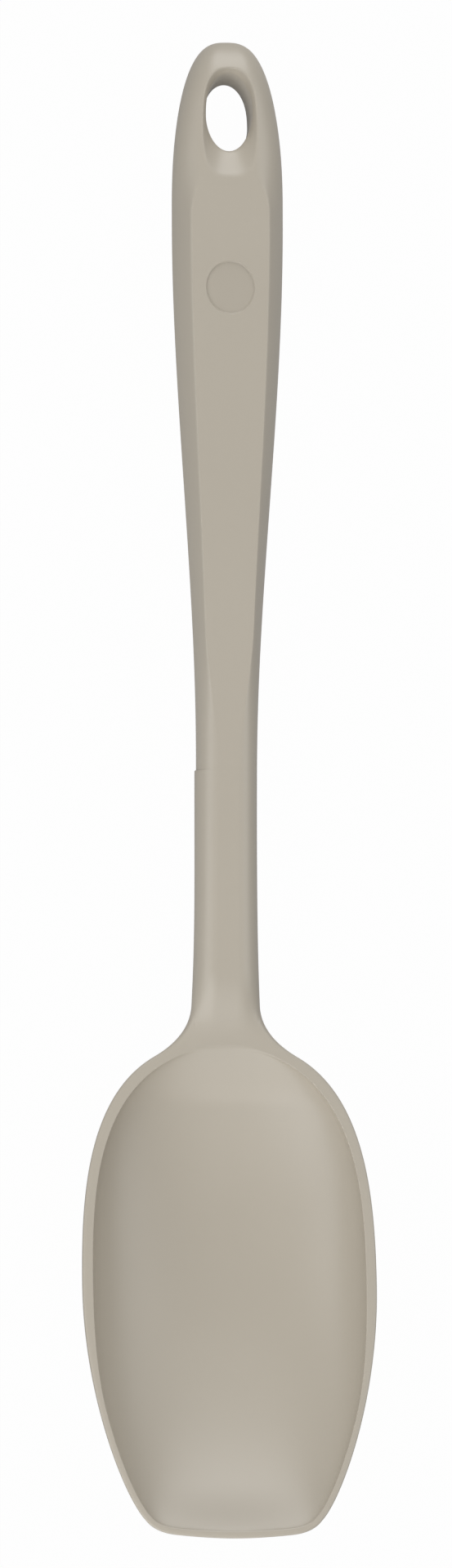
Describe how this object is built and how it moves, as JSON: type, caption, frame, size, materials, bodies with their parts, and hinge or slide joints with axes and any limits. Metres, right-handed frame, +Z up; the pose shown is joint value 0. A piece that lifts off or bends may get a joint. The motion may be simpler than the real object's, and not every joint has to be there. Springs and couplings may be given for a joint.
{
  "type": "sauce ladle",
  "caption": "Silicone-covered sauce ladle with a deep blunt-tipped bowl, a slim neck and a bevelled handle with an oval hanging eye, for stirring, scooping and scraping.",
  "frame": {"origin": "centre of the bounding box in plan, on the plane on which the ladle rests", "axes": "+Y from the scraping tip to the handle's end, +Z up out of the open bowl, +X across to the right"},
  "size_m": [0.0548, 0.28, 0.0294],
  "materials": {
    "silicone": "satin, greige",
    "nylon": "matte, dark grey",
    "steel": "brushed"
  },
  "bodies": {
    "root": {"handle_front_skin": "silicone", "handle_back_skin": "silicone", "head_front_skin": "silicone", "head_back_skin": "silicone", "handle_core": "nylon", "bowl_core": "nylon", "steel_spine": "steel"}
  },
  "joints": []
}
